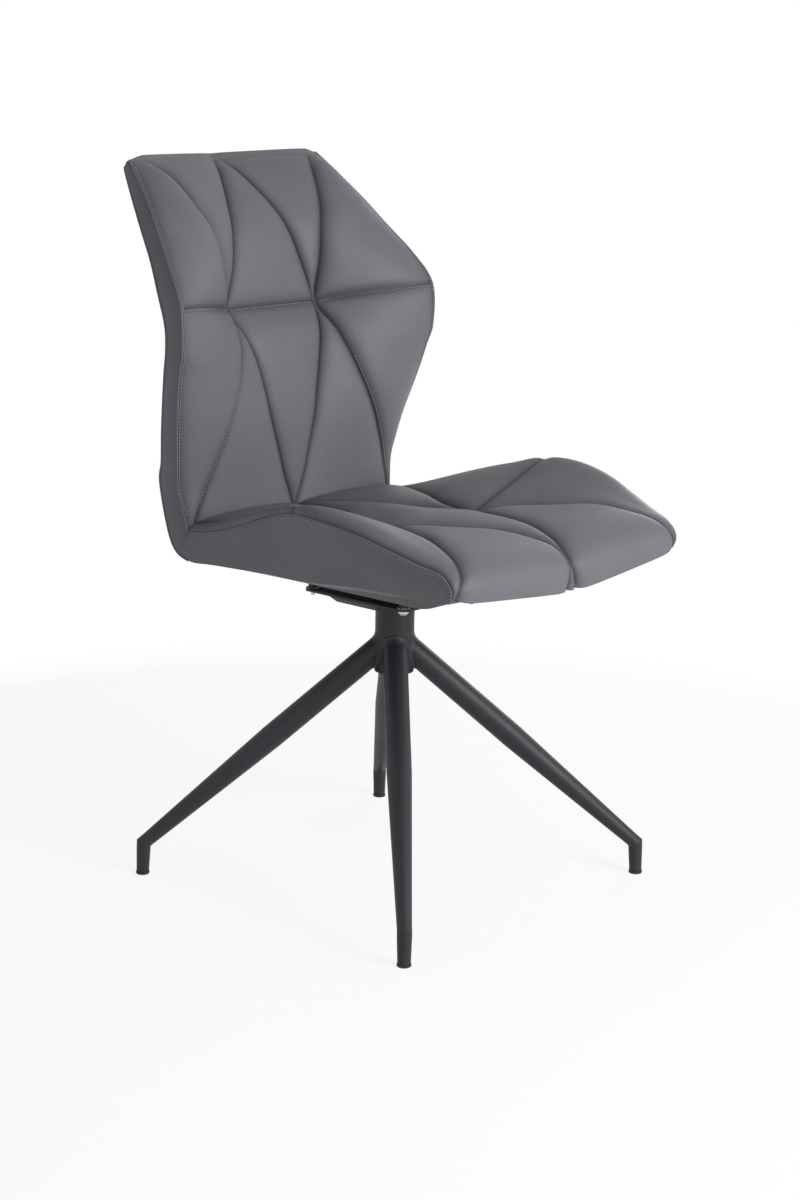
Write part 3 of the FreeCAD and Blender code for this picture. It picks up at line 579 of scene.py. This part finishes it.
# Underside: black lining stapled over the turned-under edge of the leather, from hem to hem.
# It is a second finish on the cushion's own underside.
TURNED_UNDER_COLUMNS = 2
first_lined = seat_top.shape[1] + SEAT_HEM_COLUMNS - 1 + TURNED_UNDER_COLUMNS
last_lined = seat_loops.shape[1] - SEAT_HEM_COLUMNS - TURNED_UNDER_COLUMNS
seat_mesh = bpy.data.objects["seat_cushion"].data
seat_mesh.materials.append(lining)
column = np.arange(len(seat_mesh.polygons)) % seat_loops.shape[1]
lined = (column >= first_lined) & (column < last_lined)
lined[-2:] = False  # the two caps
seat_mesh.polygons.foreach_set("material_index", lined.astype(np.int32))

# Back cushion: the same cover over the back's foam. Two long middle wedges and a centre wedge run
# up from the crease to a cross seam, where all seams meet in two nodes, and open again above it.
# The wings bend forward at both sides, and the top edge is rolled over to the rear panel.
# Right half, from below the crease up and over the top edge, each place as x, y, z:
# inner seam, outer seam, stitched edge, side hem and rear surface.
back_net = np.array([
    [(2, 176, 432), (168, 176, 432), (177, 178, 430), (178, 196, 416), (92, 198, 408)],
    [(2, 174, 444), (172, 173.5, 443.5), (181, 175, 438), (180, 205, 419), (90, 207, 410)],
    [(17.5, 174.4, 485), (158.3, 168.5, 485), (186.8, 184.6, 486), (187, 217, 488), (91, 224, 472)],
    [(27, 175.4, 518), (146, 163.6, 516.5), (194.3, 178.6, 518), (194, 207, 519), (93, 226, 511)],
    [(38, 177, 555), (129.3, 159.6, 555), (203, 169.4, 555), (202.5, 197, 555), (95, 228, 551)],
    [(46, 180.6, 591), (113.5, 162, 590), (211.6, 159.4, 592), (210, 187, 591), (97, 231, 589)],
    [(56.5, 186.5, 631), (97, 172, 630), (218, 148.6, 632), (217.5, 176, 630), (99, 236, 631)],
    [(66.5, 196, 660), (86.8, 187, 660), (221, 141, 660), (221, 169, 660), (100, 239, 659)],
    [(75.5, 216, 692), (78.5, 216, 692), (220.6, 143, 710), (220.5, 171, 688), (100, 244, 692)],
    [(59.6, 224.6, 743), (85.5, 216, 743), (211.5, 168, 746), (216, 187, 722), (96, 252, 735)],
    [(48.3, 237, 783), (93.5, 222, 783), (196, 204.5, 784), (205, 212, 759), (90, 267, 775)],
    [(37.2, 256, 812), (107, 237, 813), (185, 231, 812), (193, 240, 790), (85, 283, 802)],
    [(21, 284, 842), (119.5, 259, 843), (173.3, 262.5, 841), (179, 272, 826), (66, 307, 832)],
    [(7, 311, 864), (136.5, 288, 867), (163.3, 291.5, 866), (165.5, 300, 858), (36, 330, 857)],
    [(3, 321, 872), (141, 295, 875.5), (160, 296.5, 870), (162, 302, 863), (14, 334, 864)],
    [(2.5, 331, 869.5), (142, 303.5, 871.5), (159, 300.5, 868.5), (160.5, 303, 866), (8, 335, 866)],
    [(2.5, 333, 861), (142, 306, 861), (156, 302, 860), (158, 302.5, 859), (8, 334, 859)],
], dtype=float)
BACK_NODE = 8 * ROWS_PER_STEP
WING_COLUMNS = 22
back_rows = fine_rows(back_net)
back_front, back_height, back_near = sewn_surface(
    back_rows[:, 0], back_rows[:, 1:3], WING_COLUMNS, fullness=10.0, crown=6.0, seam_width=8.0,
    edge_width=16.0)
back_across = along_from(back_front, BACK_NODE)
BACK_OUTER = WING_COLUMNS, WING_COLUMNS + 2 * MIDDLE_COLUMNS + CENTRE_COLUMNS
BACK_INNER = BACK_OUTER[0] + MIDDLE_COLUMNS, BACK_OUTER[1] - MIDDLE_COLUMNS
centre_columns = np.arange(BACK_INNER[0], BACK_INNER[1] + 1)
wing_columns = np.r_[0:BACK_OUTER[0], BACK_OUTER[1]:back_front.shape[1]]
# The cross seam is as deep as the others between the nodes, and runs out across the wings.
CENTRE_CROSS_WIDTH, WING_CROSS_WIDTH = 8.0, 6.0
NODE_REACH, WING_TIP_REACH, NODE_SHARE, WING_TIP_SHARE = 78.0, 200.0, 0.9, 0.3
wing_reach = np.abs(back_front[BACK_NODE, wing_columns, 0])
wing_share = np.interp(wing_reach, (NODE_REACH, WING_TIP_REACH), (NODE_SHARE, WING_TIP_SHARE))
back_height[:, centre_columns] *= 1 - np.exp(-back_across[:, centre_columns] / CENTRE_CROSS_WIDTH)
back_height[:, wing_columns] *= 1 - wing_share * np.exp(
    -back_across[:, wing_columns] / WING_CROSS_WIDTH)
cross_columns = np.r_[wing_columns, centre_columns]
back_near[:, cross_columns] = np.minimum(back_near, back_across)[:, cross_columns]
# The seams fade out towards the top edge, over which the cover is rolled flat.
TOP_FADE, TOP_SHARE, TOP_STEPS, TOP_CLEAR = 22.0, 0.08, 3, 6.0
seam_height = back_rows[:, 0, 2]
top_fade = np.clip((seam_height.max() - seam_height) / TOP_FADE, 0.0, 1.0)[:, None]
top_fade[-TOP_STEPS * ROWS_PER_STEP:] = 0.0
back_height *= TOP_SHARE + (1 - TOP_SHARE) * top_fade
back_near += TOP_CLEAR * (1 - top_fade)
back_front = back_front + outward(back_front, (0, -1, 0)) * back_height[..., None]

back_behind = cover_behind(back_rows[:, 2], back_rows[:, 3] - [INSET, 0, 0],
                           back_rows[:, 4] - [0, INSET, 0], hem_columns=8, fold_columns=10,
                           middle_columns=12)
back_loops = cushion("back_cushion", back_front, back_near, back_behind, "back_pad")

# Side gussets: one strip of leather each side, sewn between the seat's and back's side seams and
# the turned-under hem, from the front corner round the crease to the top corner.
STRIP_THICKNESS, STRIP_COLUMNS, STRIP_BULGE = 1.4, 14, 2.0


def strip_loops(places, count, bulge, outwards):
    """Closed rows round a thin strip: across its outer face and back along its inner face.

    The outer face stands out by a sine of the bulge, and the inner one is parallel to the
    flat strip, its thickness inside."""
    points = np.concatenate([plain_run(places, count), places[:, -1:]], axis=1)
    share = (1 - np.cos(np.pi * np.arange(count + 1) / count)) / 2
    normal = outward(points, outwards)
    outer = points + normal * (bulge * np.sin(np.pi * share))[None, :, None]
    inner = points - normal * STRIP_THICKNESS
    return np.concatenate([outer, inner[:, ::-1]], axis=1)


def leather_strip(name, loops, replaced):
    """A closed strip of the gusset leather, the grey leather darkened as painted shade, that stands for a
    CAD node.
    """
    faces = capped_faces(*loops.shape[:2])
    piece = closed_mesh(name, loops, faces, shaded_gusset_leather, "seat")
    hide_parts(replaced)


# The gusset leather is the grey leather made darker: painted shade on the side gussets and the rear
# panel.
shaded_gusset_leather = coated_leather("gusset_leather_painted_shade", "#525358", "#5a5b60")
gusset_rows = fine_rows(np.concatenate([seat_net[:0:-1, 3:5], back_net[1:-1, 2:4]]))
SIDES = (("left", 1), ("right", -1))
for side, sign in SIDES:
    strip = strip_loops(gusset_rows * [sign, 1, 1], STRIP_COLUMNS, STRIP_BULGE, (sign, 0, 0))
    leather_strip("gusset_strip_" + side, strip, "side_gusset_" + side)

# Rear panel: one piece of leather over the back of the shell, from the top roll down and in
# under the shell to the seat's underside, where it is stapled.
PANEL_COLUMNS, PANEL_BULGE = 60, 0.5
rear_net = np.concatenate([seat_net[2:0:-1, 4:6], back_net[1:-1, 3:5]])
rear_right = fine_rows(rear_net, first=1)
rear_rows = np.concatenate([rear_right * flip, rear_right[:, ::-1]], axis=1)
# The rear panel takes the darker gusset leather, which is painted shade.
leather_strip("rear_panel", strip_loops(rear_rows, PANEL_COLUMNS, PANEL_BULGE, (0, 1, 0)), "back_cover")

# Piping and thread: a thin folded edge of leather in the side seams, and lockstitch in grey
# bonded polyester beside the edges and the cross seams, with its ends pulled into the leather.


def bonded_polyester_thread():
    """Twisted filament thread, waxed: paler than the leather, with a dull shine."""
    material, tree, shader, coords = new_finish("bonded_polyester_thread")
    wear_in(tree, shader, coords, "#75767b", "#838489", 3.0, 0.6, 0.5)
    relief(tree, shader, grain(tree, coords, 0.5), 0.05)
    shader.inputs["Sheen Weight"].default_value = 0.2
    return material


def beside(grid, column, distance):
    """For each row of a grid, the point at a distance from one column, walked along the row."""
    walk = grid[:, column:] if distance > 0 else grid[:, column::-1]
    steps = np.linalg.norm(np.diff(walk, axis=1), axis=2)
    travelled = np.concatenate([np.zeros((len(walk), 1)), np.cumsum(steps, axis=1)], axis=1)
    passed = np.clip((travelled < abs(distance)).sum(axis=1), 1, walk.shape[1] - 1)[:, None]
    start_at, end_at = (np.take_along_axis(travelled, place, 1) for place in (passed - 1, passed))
    share = ((abs(distance) - start_at) / (end_at - start_at))[..., None]
    start, end = (np.take_along_axis(walk, place[..., None], 1) for place in (passed - 1, passed))
    return (start + share * (end - start))[:, 0]


STITCH_PITCH, STITCH_LENGTH, THREAD_RADIUS = 4.4, 3.2, 0.65
STITCH_RINGS, STITCH_SIDES = 5, 6


def stitches(path, rise):
    """One bead of thread per stitch along a path: rings that thin to both ends and arch up.

    A ring's centre is raised by most of the thread's radius less the square of its place
    along the stitch, and its radius is the root of one less most of that square."""
    steps = np.linalg.norm(np.diff(path, axis=0), axis=1)
    travelled = np.concatenate([[0.0], np.cumsum(steps)])
    at = np.arange(STITCH_PITCH / 2, travelled[-1], STITCH_PITCH)
    centre, up, along = (np.stack([np.interp(at, travelled, field[:, axis]) for axis in range(3)], axis=1)
                         for field in (path, rise, np.gradient(path, axis=0)))
    along, up = unit(along), unit(up)
    side = np.cross(along, up)
    place = np.linspace(-1, 1, STITCH_RINGS)[:, None]
    arch = up[:, None] * (THREAD_RADIUS * (0.9 - place ** 2))
    middle = centre[:, None] + along[:, None] * place * STITCH_LENGTH / 2 + arch
    turn = np.linspace(0, 2 * np.pi, STITCH_SIDES, endpoint=False)[:, None]
    radius = THREAD_RADIUS * np.sqrt(1 - 0.85 * place ** 2)[None, :, None]
    around = np.cos(turn) * side[:, None, None] + np.sin(turn) * up[:, None, None]
    return (middle[:, :, None] + radius * around).reshape(-1, STITCH_RINGS * STITCH_SIDES, 3)


def thread_piece(name, lines):
    """All the stitches of some lines, each line a path and the way its thread stands out."""
    beads = np.concatenate([stitches(path, rise) for path, rise in lines])
    *quads, first_end, last_end = capped_faces(STITCH_RINGS, STITCH_SIDES)
    firsts = np.arange(len(beads))[:, None, None] * STITCH_RINGS * STITCH_SIDES
    sides = (np.array(quads) + firsts).reshape(-1, 4).tolist()
    ends = (np.array([first_end, last_end]) + firsts).reshape(-1, STITCH_SIDES).tolist()
    closed_mesh(name, beads, sides + ends, thread, "seat")


thread = bonded_polyester_thread()
back_sewn = back_loops[:, :back_front.shape[1]]
back_rise = outward(back_sewn, (0, -1, 0))
last_column = back_sewn.shape[1] - 1
# Stitches lie beside the wing's edge, beside the outer seam below the node, and beside the
# cross seam. The rows leave out what is under the seat, at the node and over the top.
EDGE_STITCH, SEAM_STITCH, CROSS_STITCH = 2.6, 3.6, 2.4
edge_rows, seam_rows = slice(11, -26), slice(13, BACK_NODE - 16)
back_lines = [(beside(back_sewn, column, step)[rows], back_rise[rows, column + round(step)])
              for column, step, rows in ((0, EDGE_STITCH, edge_rows),
                                         (last_column, -EDGE_STITCH, edge_rows),
                                         (BACK_OUTER[0], -SEAM_STITCH, seam_rows),
                                         (BACK_OUTER[1], SEAM_STITCH, seam_rows))]
across_back, across_rise = np.swapaxes(back_sewn, 0, 1), np.swapaxes(back_rise, 0, 1)
cross_path = beside(across_back, BACK_NODE, -CROSS_STITCH)
for columns in (slice(1, BACK_OUTER[0] - 2), slice(BACK_INNER[0] + 2, BACK_INNER[1] - 2),
                slice(BACK_OUTER[1] + 2, last_column - 1)):
    back_lines.append((cross_path[columns], across_rise[columns, BACK_NODE]))
thread_piece("back_stitching", back_lines)

GUSSET_STITCH, STITCH_PROUD, STITCH_ENDS = 3.0, 0.5, 4
seat_steps = len(seat_net) - 2
down_gusset = unit(gusset_rows[:, 1] - gusset_rows[:, 0])
gusset_line = gusset_rows[:, 0] + down_gusset * GUSSET_STITCH + [STITCH_PROUD, 0, 0]
sewn_line = gusset_line[STITCH_ENDS:seat_steps * ROWS_PER_STEP - STITCH_ENDS]
seat_lines = [(sewn_line * [sign, 1, 1], np.tile([sign, 0.0, 0.3], (len(sewn_line), 1)))
              for sign in (-1, 1)]
thread_piece("seat_stitching", seat_lines)

PIPING_RADIUS, PIPING_SIDES = 1.2, 8


def tube(path, radius, sides):
    """Circles of a radius along a path, each on the two directions square to its tangent.

    The first of them is square to x as well, and the second to the first."""
    tangent = unit(np.gradient(path, axis=0))
    side = unit(np.cross(tangent, np.array([1.0, 0.0, 0.0])))
    rise = np.cross(tangent, side)
    turn = np.linspace(0, 2 * np.pi, sides, endpoint=False)[:, None]
    return path[:, None] + radius * (np.cos(turn) * side[:, None] + np.sin(turn) * rise[:, None])


for side, sign in SIDES:
    for seam, line in (("side", gusset_rows[:, 0]), ("rear", rear_right[:, 0])):
        rings = tube(line * [sign, 1, 1], PIPING_RADIUS, PIPING_SIDES)
        closed_mesh(seam + "_piping_" + side, rings, capped_faces(*rings.shape[:2]), leather, "seat")

# Floor, light and camera: a pale studio floor that turns white round the chair, one large soft
# lamp in front, a small one behind, and a white room. The camera stands where the photo was
# taken from, worked out from the chair's own edges.
floor_mesh = bpy.data.meshes.new("studio_floor")
REACH = 4.0
floor_mesh.from_pydata([(-REACH, -REACH, 0), (REACH, -REACH, 0), (REACH, REACH, 0),
                        (-REACH, REACH, 0)], [], [(0, 1, 2, 3)])
floor = bpy.data.objects.new("studio_floor", floor_mesh)
bpy.context.scene.collection.objects.link(floor)
paper, tree, shader, coords = new_finish("white_studio_paper")
shader.inputs["Base Color"].default_value = linear("#f4f4f4")
shader.inputs["Roughness"].default_value = 1.0
shader.inputs["Specular IOR Level"].default_value = 0.0
reach = add(tree, "ShaderNodeVectorMath", {0: coords}, operation="LENGTH").outputs["Value"]
FADE_START, FADE_END, WHITE_SHARE = 0.4, 1.2, 0.86
fade = add(tree, "ShaderNodeMapRange", {"Value": reach, "From Min": FADE_START, "From Max": FADE_END},
           interpolation_type="SMOOTHSTEP").outputs["Result"]
glow = add(tree, "ShaderNodeEmission", {"Color": (1, 1, 1, 1), "Strength": 1.0}).outputs[0]


def unlit_rays(tree):
    """One for the rays that see a white background: camera, glossy and transmission rays."""
    rays = add(tree, "ShaderNodeLightPath").outputs
    seen = rays["Is Camera Ray"]
    for kind in ("Is Glossy Ray", "Is Transmission Ray"):
        seen = add(tree, "ShaderNodeMath", {0: seen, 1: rays[kind]}, operation="MAXIMUM").outputs[0]
    return seen


seen = add(tree, "ShaderNodeMath", {0: unlit_rays(tree), 1: WHITE_SHARE},
           operation="MULTIPLY").outputs[0]
share = add(tree, "ShaderNodeMath", {0: fade, 1: seen}, operation="MAXIMUM").outputs[0]
blend = add(tree, "ShaderNodeMixShader", {0: share, 1: shader.outputs[0], 2: glow})
tree.links.new(blend.outputs[0], tree.nodes["Material Output"].inputs["Surface"])
floor_mesh.materials.append(paper)

world = bpy.data.worlds.new("white_room")
bpy.context.scene.world = world
world.use_nodes = True
tree = world.node_tree
tree.nodes.clear()
ROOM_FILL = 0.38
strength = add(tree, "ShaderNodeMix", {0: unlit_rays(tree), 2: ROOM_FILL, 3: 1.0},
               data_type="FLOAT").outputs[0]
sky = add(tree, "ShaderNodeBackground", {"Color": (1, 1, 1, 1), "Strength": strength})
tree.links.new(sky.outputs[0], add(tree, "ShaderNodeOutputWorld").inputs["Surface"])


LAMPS_AIM = (0.0, 0.05, 0.45)


def soft_lamp(name, place, size, watts):
    """A square area lamp, aimed at the seat."""
    lamp_data = bpy.data.lights.new(name, "AREA")
    lamp_data.size = size
    lamp_data.energy = watts
    lamp = bpy.data.objects.new(name, lamp_data)
    bpy.context.scene.collection.objects.link(lamp)
    lamp.location = place
    toward = Vector(LAMPS_AIM) - Vector(place)
    lamp.rotation_mode = "QUATERNION"
    lamp.rotation_quaternion = toward.to_track_quat("-Z", "Y")


soft_lamp("key_softbox", (0.15, -2.6, 1.25), 1.2, 72.0)
soft_lamp("rim_softbox", (1.9, 0.5, 0.9), 0.7, 8.0)

# The azimuth and elevation turn the camera's back axis, and the roll turns its right and up axes.
AZIMUTH, ELEVATION, ROLL = (math.radians(turn) for turn in (-48.317, 13.514, 1.046))
CAMERA_PLACE = (-2.16957, -1.93968, 1.05104)
FOCAL_PIXELS, LONG_SIDE_PIXELS, SENSOR = 2453.44, 1200, 36.0
back_axis = np.array([math.sin(AZIMUTH) * math.cos(ELEVATION),
                      -math.cos(AZIMUTH) * math.cos(ELEVATION), math.sin(ELEVATION)])
level = np.array([math.cos(AZIMUTH), math.sin(AZIMUTH), 0.0])
upright = np.cross(back_axis, level)
right_axis = math.cos(ROLL) * level + math.sin(ROLL) * upright
up_axis = -math.sin(ROLL) * level + math.cos(ROLL) * upright
camera_data = bpy.data.cameras.new("photo_camera")
camera_data.sensor_width = SENSOR
camera_data.lens = FOCAL_PIXELS / LONG_SIDE_PIXELS * SENSOR
camera = bpy.data.objects.new("photo_camera", camera_data)
bpy.context.scene.collection.objects.link(camera)
placed = np.eye(4)
placed[:3, :4] = np.stack([right_axis, up_axis, back_axis, np.array(CAMERA_PLACE)], axis=1)
camera.matrix_world = Matrix(placed.tolist())
bpy.context.scene.camera = camera
bpy.context.scene.view_settings.view_transform = "Standard"
